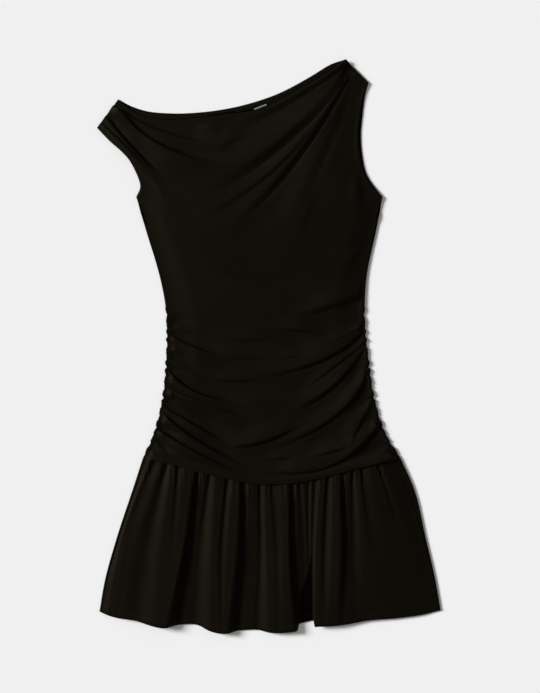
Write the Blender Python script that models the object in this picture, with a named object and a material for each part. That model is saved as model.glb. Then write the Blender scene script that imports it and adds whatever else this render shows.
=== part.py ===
"""A ruched mini dress in black jersey, laid flat on its back with the front up.

The neck slants from a low shoulder at -X up to a high shoulder at +X. Both side seams are ruched
from the waist to the hip, where the bodice blouses over a gathered skirt. The back lies on the
surface and rolls up round each side to its seam; the front lies on the back. The origin is at
the middle of the dress on the surface, +Y is towards the neck and +Z is up.
"""

import math
from collections import namedtuple

import bpy
import numpy as np

# Every size and place in the tables is in millimetres, and the meshes are made in metres
MM = 0.001

# Cloth
WALL = 1.4
SEAM_GAP = 0.3
BACK_LEVEL = WALL / 2
FRONT_LEVEL = 2.8
ROLL_RADIUS = 2.2
SEAM_LEVEL = BACK_LEVEL + 2 * ROLL_RADIUS
NECK_LEVEL = 4.4
ARMHOLE_LEVEL = 3.6
BLOUSE_LEVEL = 8.4

# Folds: how fast they fade at a free end, and how they narrow towards a held one
STEEPEST = 5.0
FOLD_FADE = 0.35
FOLD_WIDTH_AT_START = 1.2
FOLD_WIDTH_AT_END = 0.7

# Edges of the front bodice: how far in from each edge its own height reaches
EDGE_REACH = 16.0
NECK_REACH = 10.0
SEAM_PINCH = 14.0
FREE_EDGE_FOLD = 0.55
BLOUSED_FOLD = 0.25
BLOUSE_STARTS = 0.86
BLOUSE_FULL = 0.98

# Rows of cloth: each runs across the dress from its low shoulder side to its high shoulder side
# and dips by its sag. A row's dip is part sine and part squared sine, which leaves the edge gently.
EDGE_SHARE = 0.5
Station = namedtuple("Station", "low_x low_y high_x high_y sag")
SHOULDER_SEAM = [
    Station(-226, 370, 115, 430, 0),
    Station(-258, 327, 150, 395, 177),
]
ARMHOLE = [
    Station(-258, 327, 150, 395, 177),
    Station(-240, 308, 143, 374, 176),
    Station(-225, 295, 138, 346, 172),
    Station(-210, 279, 135, 316, 165),
    Station(-201, 263, 137, 289, 158),
    Station(-193, 240, 146, 256, 146),
    Station(-199, 223, 171, 223, 132),
]
SIDE = [
    Station(-199, 223, 171, 223, 132),
    Station(-184, 173, 161, 173, 102),
    Station(-162, 98, 146, 98, 51),
    Station(-156, 68, 144, 68, 38),
    Station(-153, 23, 145, 23, 36),
    Station(-154, -23, 150, -23, 36),
    Station(-160, -82, 159, -82, 36),
    Station(-174, -136, 177, -136, 37),
    Station(-189, -170, 198, -170, 38),
]
RUCHING_STARTS = 3
SKIRT_SIDE = [
    Station(-189, -170, 198, -170, 38),
    Station(-203, -213, 217, -210, 35),
    Station(-229, -290, 236, -290, 30),
    Station(-246, -352, 250, -352, 26),
    Station(-254, -400, 258, -398, 0),
]

# How far each neckline dips below the straight line between the two neck points
Neck = namedtuple("Neck", "across dip")
FRONT_NECK = [
    Neck(0, 0), Neck(0.03, 10), Neck(0.08, 25), Neck(0.13, 34), Neck(0.19, 42), Neck(0.3, 48),
    Neck(0.46, 51), Neck(0.57, 53), Neck(0.67, 50), Neck(0.8, 34), Neck(0.92, 17), Neck(1, 0),
]
BACK_NECK = [
    Neck(0, 0), Neck(0.04, 10), Neck(0.11, 23), Neck(0.22, 34), Neck(0.36, 41), Neck(0.57, 41),
    Neck(0.71, 33), Neck(0.85, 16), Neck(0.94, 3), Neck(1, 0),
]
BACK_SHOWS_AT_ARMHOLE = 3.5

# How far the back shows inside the outline before its seam with the front
Strip = namedtuple("Strip", "along low high")
BODICE_STRIP = [Strip(0, 2.0, 1.0), Strip(0.5, 2.3, 1.2), Strip(1, 2.3, 1.2)]
SKIRT_STRIP = [Strip(0, 2.3, 12.0), Strip(0.2, 1.2, 9.0), Strip(0.5, 0.8, 2.0), Strip(1, 0.8, 0.8)]

# Ruching: small gathers down each side seam
GATHERS_A_SIDE = 16
ROWS_A_GATHER = 3
GATHER_DEPTH = 1.2
GATHER_HEIGHT = 1.0
GATHER_REACH = 24.0

# Grid of the panels
FRONT_COLUMNS = 21
BACK_COLUMNS = 15
ROLL_STEPS = 4
Rows = namedtuple("Rows", "shoulder armhole")
FRONT_ROWS = Rows(22, 10)
BACK_ROWS = Rows(5, 6)
UPPER_SIDE_ROWS = (0, 0.02, 0.04, 0.065, 0.09, 0.12, 0.16, 0.22, 0.28, 0.34)
SKIRT_ROWS = (0, 0.035, 0.09, 0.18, 0.32, 0.48, 0.64, 0.8, 0.92, 1)

# Folds of the front bodice, each from its faded end to its held end. The cloth climbs over the
# soft width on the left of that way and drops over the steep width on its right.
Fold = namedtuple("Fold", "start middle end rise soft steep held")
FOLDS = [
    # from the low shoulder
    Fold((-159, 254), (-201, 292), (-241, 340), 3.8, 13, 4, True),
    Fold((-49, 273), (-153, 295), (-231, 359), 4.2, 20, 5, True),
    Fold((-81, 302), (-156, 322), (-213, 344), 3.2, 16, 5, True),
    # from the high shoulder
    Fold((-55, 325), (24, 362), (114, 422), 2.4, 12, 8, True),
    Fold((-109, 224), (23, 310), (118, 418), 5.0, 30, 10, True),
    Fold((-124, 182), (-9, 250), (77, 346), 1.8, 12, 5, False),
    Fold((-64, 178), (23, 258), (113, 394), 4.6, 14, 6, True),
    Fold((15, 151), (80, 286), (128, 398), 3.4, 20, 14, True),
    Fold((117, 343), (127, 370), (140, 406), 2.2, 9, 5, True),
    Fold((42, 151), (57, 191), (74, 229), 2.0, 16, 8, False),
    Fold((138, 200), (136, 233), (140, 266), 2.4, 12, 5, False),
    # from the high side seam
    Fold((38, 43), (92, 61), (144, 77), 2.8, 18, 5, True),
    Fold((80, 4), (113, 14), (143, 29), 1.6, 9, 4, True),
    Fold((-25, -49), (77, -23), (143, 23), 3.4, 18, 5, True),
    Fold((47, -70), (98, -32), (144, 4), 1.8, 9, 4, True),
    Fold((32, -98), (92, -65), (146, -2), 3.8, 16, 5, True),
    Fold((-10, -160), (99, -106), (150, -31), 3.4, 14, 5, True),
    Fold((122, -157), (134, -124), (158, -85), 3.4, 10, 5, True),
    Fold((-21, -182), (84, -184), (168, -115), 5.0, 18, 5, True),
    Fold((149, -170), (162, -149), (174, -128), 2.6, 9, 5, True),
    # from the low side seam
    Fold((-46, -22), (-109, -4), (-148, 17), 2.4, 14, 5, True),
    Fold((-99, -41), (-126, -31), (-150, -20), 1.8, 10, 4, True),
    Fold((-34, -80), (-103, -73), (-153, -35), 3.2, 15, 5, True),
    Fold((-4, -116), (-91, -89), (-151, -64), 2.6, 13, 5, True),
    Fold((-55, -152), (-109, -118), (-162, -89), 3.2, 14, 5, True),
    Fold((-60, -152), (-6, -143), (63, -112), 4.2, 18, 5, False),
    Fold((-10, -187), (-103, -146), (-162, -98), 4.4, 16, 5, True),
    Fold((-15, -202), (-103, -161), (-169, -124), 3.6, 12, 5, True),
]

# Gathers of the front skirt: each has a crest and then a crease, at the waist, middle and hem
Gather = namedtuple(
    "Gather",
    "crest_waist crest_middle crest_hem crease_waist crease_middle crease_hem"
    " crest_rise_middle crest_rise_hem crease_rise_middle crease_rise_hem",
)
SKIRT_GATHERS = [
    Gather(-181, -219, -241, -178, -213, -231, 6.0, 6.0, 5.2, 5.2),
    Gather(-174, -205, -219, -169, -198, -211, 6.5, 6.2, 5.2, 5.2),
    Gather(-163, -190, -202, -157, -181, -193, 5.6, 5.4, 3.4, 4.0),
    Gather(-150, -162, -178, -138, -148, -163, 9.0, 10.0, 7.2, 7.6),
    Gather(-128, -131, -153, -124, -126, -148, 8.0, 7.8, 7.4, 7.2),
    Gather(-119, -121, -143, -113, -115, -136, 7.6, 7.2, 2.6, 2.6),
    Gather(-101, -105, -118, -94, -97, -109, 5.2, 4.4, 3.6, 4.2),
    Gather(-84, -87, -94, -79, -80, -84, 9.0, 10.0, 8.0, 8.6),
    Gather(-74, -74, -76, -66, -68, -68, 7.4, 8.6, 4.6, 8.0),
    Gather(-57, -52, -60, -40, -37, -48, 8.0, 8.0, 2.6, 2.6),
    Gather(-30, -25, -28, -12, -11, -9, 4.8, 4.4, 2.8, 3.4),
    Gather(-6, -5, 2, 9, 9, 15, 8.5, 9.0, 7.8, 8.2),
    Gather(25, 24, 32, 35, 37, 45, 8.8, 9.0, 2.6, 2.6),
    Gather(42, 45, 50, 48, 51, 55, 4.0, 3.0, 3.2, 2.8),
    Gather(54, 56, 59, 61, 61, 63, 3.4, 2.8, 2.6, 2.6),
    Gather(66, 66, 67, 71, 70, 71, 5.5, 5.0, 4.6, 5.2),
    Gather(78, 76, 77, 94, 86, 87, 8.5, 9.0, 6.2, 8.0),
    Gather(102, 99, 97, 113, 116, 114, 9.0, 8.8, 2.6, 3.2),
    Gather(120, 122, 121, 126, 128, 129, 4.0, 4.2, 3.2, 4.4),
    Gather(132, 138, 146, 139, 150, 158, 7.6, 6.6, 6.0, 6.2),
    Gather(145, 159, 171, 150, 167, 181, 6.8, 6.0, 6.2, 5.8),
    Gather(156, 177, 195, 161, 187, 208, 6.6, 6.0, 5.4, 5.6),
    Gather(166, 203, 226, 169, 211, 236, 6.2, 5.8, 5.8, 5.4),
]
LAST_CREST = namedtuple("LastCrest", "waist middle hem rise")(173, 222, 245, 6.2)
WAIST_CREST = 4.5
WAIST_CREASE = 3.0
SKIRT_EMERGED = 0.2
SKIRT_FULL = 0.3
TUCK = 7.0
TUCK_CLEAR = 12.0
TUCK_FULL = 34.0

# The front hem, as its height at places across
Hem = namedtuple("Hem", "x y")
FRONT_HEM = [
    Hem(-255, -400), Hem(-235, -407), Hem(-199, -413), Hem(-175, -420), Hem(-157, -423),
    Hem(-139, -420), Hem(-103, -421), Hem(-91, -427), Hem(-67, -432), Hem(-43, -428), Hem(-19, -427),
    Hem(5, -431), Hem(29, -430), Hem(45, -428), Hem(50, -416), Hem(66, -415), Hem(70, -422),
    Hem(89, -421), Hem(113, -419), Hem(149, -413), Hem(197, -409), Hem(233, -404), Hem(258, -398),
]
BACK_HEM_DROP = 16.0

# Neck label, a plain tab inside the back neck
LABEL_SIZE = (22.0, 10.0, 1.0)
LABEL_PLACE = (-12.0, 357.0)
LABEL_TURN = math.radians(17)
LABEL_CORNER = 1.5

JERSEY = (0.012, 0.011, 0.009, 1)
TAPE = (0.010, 0.010, 0.011, 1)


def smooth(at, knots, values):
    """Reads a smooth curve through each knot and its value."""
    knots = np.asarray(knots, float)
    values = np.asarray(values, float)
    slopes = np.gradient(values, knots)
    at = np.clip(np.asarray(at, float), knots[0], knots[-1])
    i = np.clip(np.searchsorted(knots, at, side="right") - 1, 0, len(knots) - 2)
    span = knots[i + 1] - knots[i]
    t = (at - knots[i]) / span
    from_start = values[i] * (1 + 2 * t) * (1 - t) ** 2 + slopes[i] * span * t * (1 - t) ** 2
    from_end = values[i + 1] * t * t * (3 - 2 * t) - slopes[i + 1] * span * t * t * (1 - t)
    return from_start + from_end


def ease(value, start=0.0, end=1.0):
    """Goes from 0 at start to 1 at end, level at both."""
    t = np.clip((np.asarray(value, float) - start) / (end - start), 0, 1)
    return t * t * (3 - 2 * t)


def knots_of(stations):
    """Places of the stations along their stretch, from 0 to 1, spaced as they are on the cloth."""
    steps = [
        math.hypot(b.low_x - a.low_x, b.low_y - a.low_y) + math.hypot(b.high_x - a.high_x, b.high_y - a.high_y)
        for a, b in zip(stations, stations[1:])
    ]
    return np.concatenate([[0], np.cumsum(steps)]) / sum(steps)


def station_at(stations, along):
    """The station at a place along a stretch, read from the smooth curves through its stations."""
    knots = knots_of(stations)
    return Station(*(float(smooth(along, knots, column)) for column in zip(*stations)))


def dip_of_neck(neck, across):
    return smooth(across, [point.across for point in neck], [point.dip for point in neck])


def row_height(station, x, neck=None, neck_share=0.0):
    """The Y of a row at each x."""
    across = np.clip((x - station.low_x) / (station.high_x - station.low_x), 0, 1)
    bow = np.sin(math.pi * across)
    dip = station.sag * (EDGE_SHARE * bow + (1 - EDGE_SHARE) * bow**2)
    if neck:
        dip = dip + neck_share * dip_of_neck(neck, across)
    return station.low_y + (station.high_y - station.low_y) * across - dip


# A row's shares run from 0 to 1: how much of the neckline's dip it has, how far the back's edge has
# rolled up, how far the front's edge has drawn in to the seam, and how near it is to the lower edge
Row = namedtuple("Row", "station neck_share rolled drawn_in armhole along gather to_bottom")


def gather_wave(along):
    """Height of the seam gathers at a place along the side, from -0.5 in a valley to 1 on a crest."""
    start = knots_of(SIDE)[RUCHING_STARTS]
    if along <= start:
        return 0.0
    turns = (along - start) / (1 - start) * GATHERS_A_SIDE
    uneven = 0.8 + 0.2 * math.sin(2.3 * math.floor(turns))
    fade = float(ease(turns, 0, 1.5)) * (1 - float(ease(turns, GATHERS_A_SIDE - 1, GATHERS_A_SIDE)))
    return uneven * fade * math.cos(2 * math.pi * turns)


def bodice_rows(counts):
    """The rows of a bodice panel, from the neck to the lower edge."""
    rows = []
    for i in range(counts.shoulder):
        along = i / counts.shoulder
        rows.append(Row(station_at(SHOULDER_SEAM, along), 1 - along, 0.0, 0.0, 0.0, 0.0, 0.0, 0.0))
    for i in range(counts.armhole):
        along = i / counts.armhole
        edge = math.sin(math.pi * along)
        rows.append(Row(station_at(ARMHOLE, along), 0.0, 0.0, 0.0, edge, 0.0, 0.0, 0.0))
    start = knots_of(SIDE)[RUCHING_STARTS]
    ruched = GATHERS_A_SIDE * ROWS_A_GATHER
    for along in (*UPPER_SIDE_ROWS, *np.linspace(start, 1, ruched + 1)):
        rolled = float(ease(along, UPPER_SIDE_ROWS[1], UPPER_SIDE_ROWS[5]))
        drawn_in = float(ease(along, 0, UPPER_SIDE_ROWS[1]))
        to_bottom = float(ease(along, BLOUSE_STARTS, BLOUSE_FULL))
        gather = gather_wave(along)
        rows.append(Row(station_at(SIDE, along), 0.0, rolled, drawn_in, 0.0, along, gather, to_bottom))
    return rows


def roll_profile(amount, strip):
    """The back's rolled edge as (inwards from the outline, up from the back) pairs, from flat to seam."""
    arc = math.pi * ROLL_RADIUS
    angle = max(amount, 0.001) * math.pi
    radius = arc / angle
    outward = [radius * math.sin(angle * k / ROLL_STEPS) for k in range(ROLL_STEPS + 1)]
    upward = [radius * (1 - math.cos(angle * k / ROLL_STEPS)) for k in range(ROLL_STEPS + 1)]
    outward.append(outward[-1] + strip * math.cos(angle))
    upward.append(upward[-1] + strip * math.sin(angle))
    return [(max(outward) - out, up) for out, up in zip(outward, upward)]


def strips_at(table, along):
    places = [row.along for row in table]
    low = float(smooth(along, places, [row.low for row in table]))
    high = float(smooth(along, places, [row.high for row in table]))
    return low, high


def scalloped(row):
    """The outline of a row at the two side seams, drawn in and out by the gathers."""
    shift = GATHER_DEPTH * row.gather * row.rolled
    station = row.station
    return station._replace(low_x=station.low_x - shift, high_x=station.high_x + shift)


def fold_rise(fold, x, y):
    """Height that one fold adds at each place."""
    start, middle, end = (np.array(point, float) for point in (fold.start, fold.middle, fold.end))
    control = 2 * middle - (start + end) / 2
    t = np.linspace(0, 1, 25)[:, None]
    curve = (1 - t) ** 2 * start + 2 * t * (1 - t) * control + t**2 * end
    steps = np.diff(curve, axis=0)
    away = np.stack([x, y], axis=-1)[..., None, :] - curve[:-1]
    along = np.clip((away * steps).sum(-1) / (steps**2).sum(-1), 0, 1)
    miss = away - along[..., None] * steps
    distance = np.hypot(miss[..., 0], miss[..., 1])
    nearest = distance.argmin(-1)
    pick = (*np.indices(nearest.shape), nearest)
    turn = steps[nearest][..., 1] * away[pick][..., 0] - steps[nearest][..., 0] * away[pick][..., 1]
    to_right = np.sign(turn) * distance[pick]
    place = (nearest + along[pick]) / len(steps)
    narrowing = 1.0
    if fold.held:
        narrowing = FOLD_WIDTH_AT_START + (FOLD_WIDTH_AT_END - FOLD_WIDTH_AT_START) * place
    half_steep = max(fold.steep, STEEPEST) / 2
    climb = ease(to_right, -half_steep - fold.soft * narrowing, -half_steep)
    drop = 1 - ease(to_right, -half_steep, half_steep)
    fade = ease(place, 0, FOLD_FADE)
    if not fold.held:
        fade = fade * ease(1 - place, 0, FOLD_FADE)
    return fold.rise * climb * drop * fade


def front_level(row, x, y, low_edge, high_edge, from_neck):
    """Height of the front bodice's middle surface along one row."""
    to_low = x - low_edge
    to_high = high_edge - x
    near_side = np.exp(-to_low / EDGE_REACH) + np.exp(-to_high / EDGE_REACH)
    inside = ease(np.minimum(to_low, to_high), 0, SEAM_PINCH)
    lifted = float(ease(row.rolled, 0.5, 1))
    level = FRONT_LEVEL + lifted * (SEAM_LEVEL - FRONT_LEVEL) * near_side
    level = level + row.armhole * (ARMHOLE_LEVEL - FRONT_LEVEL) * near_side
    across = np.clip(to_low / (high_edge - low_edge), 0, 1)
    from_tips = ease(across * (1 - across), 0, 0.1)
    level = level + (NECK_LEVEL - FRONT_LEVEL) * np.exp(-from_neck / NECK_REACH) * from_tips
    folds = sum(fold_rise(fold, x, y) for fold in FOLDS)
    at_edge = FREE_EDGE_FOLD * (1 - row.rolled)
    held_down = at_edge + (1 - at_edge) * inside
    level = level + folds * held_down * (1 + (BLOUSED_FOLD - 1) * row.to_bottom)
    level = level + row.gather * row.rolled * GATHER_HEIGHT * np.exp(-np.minimum(to_low, to_high) / GATHER_REACH)
    return level + row.to_bottom * inside * (BLOUSE_LEVEL - level)


def across_columns(count):
    """Places across a panel from 0 to 1, closer together near the two sides."""
    even = np.linspace(0, 1, count)
    return 0.55 * even + 0.45 * (0.5 - 0.5 * np.cos(math.pi * even))


def front_bodice_grid():
    grid = []
    neck_row = None
    for row in bodice_rows(FRONT_ROWS):
        station = scalloped(row)
        low_strip, high_strip = strips_at(BODICE_STRIP, row.along)
        clear = SEAM_GAP + math.sin(math.pi * row.rolled)
        low_edge = station.low_x + row.drawn_in * (roll_profile(1.0, low_strip)[-1][0] + clear)
        high_edge = station.high_x - row.drawn_in * (roll_profile(1.0, high_strip)[-1][0] + clear)
        x = low_edge + (high_edge - low_edge) * across_columns(FRONT_COLUMNS)
        y = row_height(station, x, FRONT_NECK, row.neck_share)
        if neck_row is None:
            neck_row = y
        z = front_level(row, x, y, low_edge, high_edge, np.abs(neck_row - y))
        grid.append(np.stack([x, y, z], axis=-1))
    return np.array(grid)


def back_row(row_station, profiles, heights_of, lift=(0.0, 0.0)):
    """One row of a back panel: its low roll, its flat middle and its high roll."""
    low, high = profiles
    points = []
    for inwards, up in reversed(low):
        points.append((row_station.low_x + inwards, BACK_LEVEL + up + lift[0] * up / (2 * ROLL_RADIUS)))
    start = row_station.low_x + low[0][0]
    end = row_station.high_x - high[0][0]
    for x in np.linspace(start, end, BACK_COLUMNS + 2)[1:-1]:
        points.append((x, BACK_LEVEL))
    for inwards, up in high:
        points.append((row_station.high_x - inwards, BACK_LEVEL + up + lift[1] * up / (2 * ROLL_RADIUS)))
    x, z = np.array(points).T
    return np.stack([x, heights_of(x), z], axis=-1)


def back_bodice_grid():
    grid = []
    for row in bodice_rows(BACK_ROWS):
        station = scalloped(row)
        station = station._replace(high_x=station.high_x + BACK_SHOWS_AT_ARMHOLE * row.armhole)
        low_strip, high_strip = strips_at(BODICE_STRIP, row.along)
        profiles = roll_profile(row.rolled, low_strip), roll_profile(row.rolled, high_strip)
        ripple = row.gather * row.rolled * GATHER_HEIGHT

        def heights(x):
            return row_height(station, x, BACK_NECK, row.neck_share)

        grid.append(back_row(station, profiles, heights, (ripple, ripple)))
    return np.array(grid)


def hem_height(x):
    return smooth(x, [point.x for point in FRONT_HEM], [point.y for point in FRONT_HEM])


def skirt_station(down):
    return station_at(SKIRT_SIDE, down)


def skirt_edges(down):
    """Where the front skirt's two side edges lie at a place down the skirt."""
    station = skirt_station(down)
    low_strip, high_strip = strips_at(SKIRT_STRIP, down)
    low = station.low_x + roll_profile(1.0, low_strip)[-1][0] + SEAM_GAP
    high = station.high_x - roll_profile(1.0, high_strip)[-1][0] - SEAM_GAP
    return low, high


def waist_height(x):
    """The Y of the bodice's lower edge."""
    return row_height(SIDE[-1], x)


def gather_lines():
    """Each crest and crease of the front skirt: its x and its height at the waist, middle and hem."""
    edges = [skirt_edges(down) for down in (0, 0.5, 1)]
    lines = [([low for low, _ in edges], [SEAM_LEVEL] * 3)]
    for g in SKIRT_GATHERS:
        crest = [g.crest_waist, g.crest_middle, g.crest_hem]
        crease = [g.crease_waist, g.crease_middle, g.crease_hem]
        lines.append((crest, [WAIST_CREST, g.crest_rise_middle, g.crest_rise_hem]))
        lines.append((crease, [WAIST_CREASE, g.crease_rise_middle, g.crease_rise_hem]))
    last = LAST_CREST
    lines.append(([last.waist, last.middle, last.hem], [WAIST_CREST, last.rise, last.rise]))
    lines.append(([high for _, high in edges], [SEAM_LEVEL] * 3))
    return lines


def between(values):
    """The values with one halfway between each two."""
    halves = (values[1:] + values[:-1]) / 2
    out = np.empty(len(values) + len(halves))
    out[0::2] = values
    out[1::2] = halves
    return out


def front_skirt_grid():
    lines = gather_lines()
    grid = []
    for down in SKIRT_ROWS:
        low, high = skirt_edges(down)
        x = np.array([smooth(down, (0, 0.5, 1), places) for places, _ in lines], float)
        x[0], x[-1] = low, high
        emerging = float(ease(down, 0, SKIRT_EMERGED))
        at_waist = np.array([rises[0] for _, rises in lines])
        in_skirt = np.array([smooth(max(down, SKIRT_FULL), (0, 0.5, 1), rises) for _, rises in lines])
        z = at_waist + emerging * (in_skirt - at_waist)
        x, z = between(x), between(z)
        to_side = np.minimum(x - low, high - x)
        tuck = (TUCK + SEAM_GAP) * ease(to_side, TUCK_CLEAR, TUCK_FULL) - SEAM_GAP
        top = waist_height(x) + tuck
        y = top + (hem_height(x) - top) * down
        grid.append(np.stack([x, y, z], axis=-1))
    return np.array(grid)


def back_skirt_grid():
    grid = []
    for down in SKIRT_ROWS:
        station = skirt_station(down)
        low_strip, high_strip = strips_at(SKIRT_STRIP, down)
        profiles = roll_profile(1.0, low_strip), roll_profile(1.0, high_strip)

        def heights(x):
            across = np.clip((x - station.low_x) / (station.high_x - station.low_x), 0, 1)
            top = waist_height(x) - SEAM_GAP
            ends = SKIRT_SIDE[-1]
            hem = ends.low_y + (ends.high_y - ends.low_y) * across
            hem = hem - BACK_HEM_DROP * np.sin(math.pi * across)
            return top + (hem - top) * down

        grid.append(back_row(station, profiles, heights))
    return np.array(grid)


def offset_both_ways(grid):
    """The two faces of a wall whose middle surface is the grid."""
    across = np.gradient(grid, axis=1)
    down = np.gradient(grid, axis=0)
    normal = np.cross(down, across)
    # the first and last rows end square, so that two panels meet face to face at a seam
    normal[[0, -1], :, 1] = 0
    normal /= np.linalg.norm(normal, axis=-1, keepdims=True)
    return grid + normal * WALL / 2, grid - normal * WALL / 2


def wall_mesh(name, grid, material):
    """A closed wall of cloth round a grid of middle points."""
    upper, lower = offset_both_ways(grid)
    lower[..., 2] = np.maximum(lower[..., 2], 0)
    rows, columns = grid.shape[:2]
    size = rows * columns
    index = np.arange(size).reshape(rows, columns)
    faces = []
    for i in range(rows - 1):
        for j in range(columns - 1):
            a, b, c, d = index[i, j], index[i + 1, j], index[i + 1, j + 1], index[i, j + 1]
            faces.append((a, b, c, d))
            faces.append((a + size, d + size, c + size, b + size))
    border = [*index[:, 0], *index[-1, 1:], *index[-2::-1, -1], *index[0, -2:0:-1]]
    for a, b in zip(border, border[1:] + border[:1]):
        faces.append((b, a, a + size, b + size))
    points = np.concatenate([upper.reshape(-1, 3), lower.reshape(-1, 3)]) * MM
    mesh = bpy.data.meshes.new(name)
    mesh.from_pydata(points.tolist(), [], [tuple(int(v) for v in face) for face in faces])
    mesh.update()
    mesh.shade_smooth()
    mesh.set_sharp_from_angle(angle=math.radians(60))
    mesh.materials.append(material)
    piece = bpy.data.objects.new(name, mesh)
    bpy.context.scene.collection.objects.link(piece)
    return piece


def label_mesh(material):
    """A small tab with rounded corners on the inside of the back, below the back neck edge."""
    width, height, thickness = LABEL_SIZE
    outline = []
    for turn, (side_x, side_y) in enumerate(((1, 1), (-1, 1), (-1, -1), (1, -1))):
        for k in range(4):
            angle = math.radians(90 * turn + 30 * k)
            x = side_x * (width / 2 - LABEL_CORNER) + LABEL_CORNER * math.cos(angle)
            y = side_y * (height / 2 - LABEL_CORNER) + LABEL_CORNER * math.sin(angle)
            outline.append((x, y))
    bottom = WALL + SEAM_GAP
    cos, sin = math.cos(LABEL_TURN), math.sin(LABEL_TURN)
    points = []
    for z in (bottom, bottom + thickness):
        for x, y in outline:
            place = (LABEL_PLACE[0] + x * cos - y * sin, LABEL_PLACE[1] + x * sin + y * cos, z)
            points.append([value * MM for value in place])
    count = len(outline)
    faces = [tuple(reversed(range(count))), tuple(range(count, 2 * count))]
    for i in range(count):
        j = (i + 1) % count
        faces.append((i, j, j + count, i + count))
    mesh = bpy.data.meshes.new("neck_label")
    mesh.from_pydata(points, [], faces)
    mesh.update()
    mesh.materials.append(material)
    piece = bpy.data.objects.new("neck_label", mesh)
    bpy.context.scene.collection.objects.link(piece)
    return piece


def cloth_material(name, colour, roughness):
    material = bpy.data.materials.new(name)
    material.use_nodes = True
    shader = material.node_tree.nodes["Principled BSDF"]
    shader.inputs["Base Color"].default_value = colour
    shader.inputs["Roughness"].default_value = roughness
    shader.inputs["Metallic"].default_value = 0.0
    return material


def main():
    for thing in list(bpy.data.objects):
        bpy.data.objects.remove(thing, do_unlink=True)
    jersey = cloth_material("jersey", JERSEY, 0.85)
    tape = cloth_material("tape", TAPE, 0.6)
    wall_mesh("back_bodice", back_bodice_grid(), jersey)
    wall_mesh("front_bodice", front_bodice_grid(), jersey)
    wall_mesh("back_skirt", back_skirt_grid(), jersey)
    wall_mesh("front_skirt", front_skirt_grid(), jersey)
    label_mesh(tape)


main()
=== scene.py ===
"""The looks of a ruched mini dress in black jersey, laid flat on a pale surface.

Each panel of cloth is a thin shell on its solid's form, with the dress's own folds, gathers and
puckers. The turned edges, stitches and label follow, then the cloth's finishes, light and camera.
"""

import math
from collections import namedtuple

import bpy
import numpy as np
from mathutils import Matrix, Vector


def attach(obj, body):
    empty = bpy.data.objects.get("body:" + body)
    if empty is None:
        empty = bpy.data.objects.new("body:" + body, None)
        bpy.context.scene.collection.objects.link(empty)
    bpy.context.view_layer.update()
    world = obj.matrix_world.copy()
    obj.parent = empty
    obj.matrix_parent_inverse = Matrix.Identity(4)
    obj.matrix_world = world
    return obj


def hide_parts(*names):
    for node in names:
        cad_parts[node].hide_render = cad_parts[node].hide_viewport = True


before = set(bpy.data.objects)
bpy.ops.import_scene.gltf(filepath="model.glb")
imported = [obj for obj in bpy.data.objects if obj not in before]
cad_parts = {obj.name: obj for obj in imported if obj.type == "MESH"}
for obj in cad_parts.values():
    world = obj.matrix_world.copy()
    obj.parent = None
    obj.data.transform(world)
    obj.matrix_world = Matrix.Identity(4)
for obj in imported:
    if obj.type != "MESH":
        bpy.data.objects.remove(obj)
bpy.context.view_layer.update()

# Every size and place in the tables is in millimetres, and the meshes are made in metres
MM = 0.001

# Cloth
CLOTH = 1.0
SEAM_GAP = 0.3
BACK_LEVEL = 0.7
FRONT_LEVEL = 2.8
ROLL_RADIUS = 1.15
UPPER_ROLL_RADIUS = 0.75
SKIRT_ROLL_RADIUS = 0.75
NECK_LEVEL = 4.4
ARMHOLE_LEVEL = 2.4
BLOUSE_LEVEL = 8.4

# Folds: each climbs over its soft width, drops over its steep width, settles a little further down
# and then recovers. Its height is shared out as these say, as parts of its rise and its soft width.
FOLD_FADE = 0.5
FOLD_FADE_LENGTH = 60.0
CREASE_DEPTH = 0.2
CREASE_WIDTH = 1.5
CREASE_FADE = 0.45
FOLD_WIDTH_AT_START = 0.6
FOLD_WIDTH_IN_MIDDLE = 1.25
FOLD_MOST_SOFT = 0.22
FOLD_WIDTH_AT_END = 0.55
FOLD_OVERHANG = 0.35
FOLD_HEIGHT = 1.5
FOLD_SOFT = 1.6
FOLD_STEEP = 3.0
FOLD_ABOVE = 0.6
FOLD_BELOW = 0.26
FOLD_SETTLES = 0.12
FOLD_BOTTOM = 0.5
FOLD_TAIL = 1.2

# Edges of the front bodice: how far in from each edge its own height reaches
EDGE_REACH = 16.0
NECK_REACH = 9.0
SEAM_PINCH = 9.0
FREE_EDGE_FOLD = 0.5
FRONT_LOFT = 3.3
LOFT_REACH = 45.0
BLOUSED_FOLD = 0.8
BLOUSE_STARTS = 0.945
BLOUSE_FULL = 0.985
BLOUSE_EDGE_FOLD = 0.5
BLOUSE_EDGE_DIP = 0.9
NECK_TIPS = 0.1
SWELL_FROM_NECK = (4.0, 30.0)
LEAN_FROM_NECK = (2.0, 14.0)

# Sides of the bodice, as places down the side seam, and the lowest the front may lie over the back
DRAWN_IN_BY = 0.02
ROLLED_BY = 0.12
LEAST_FRONT_LEVEL = 2.1
SETTLING = 0.9

# Skirt: the gathers come up out of the waist seam, under the bodice's bloused edge
WAIST_PUCKER = 0.45
SKIRT_EMERGED = 0.2
SKIRT_FULL = 0.3
TUCK = 7.0
TUCK_CLEAR = 12.0
TUCK_FULL = 34.0
SKIRT_PINCH = 10.0
ROW_CROWDING = 1.25
PUCKER_PITCH = 2 * math.pi / 0.93
PUCKER_WANDER = 2.1
PUCKER_WANDER_PITCH = 2 * math.pi / 0.071
WAIST_PUCKER_ENDS = (0.03, 0.2)
WAIST_PUCKER_STARTS = 0.05

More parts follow.
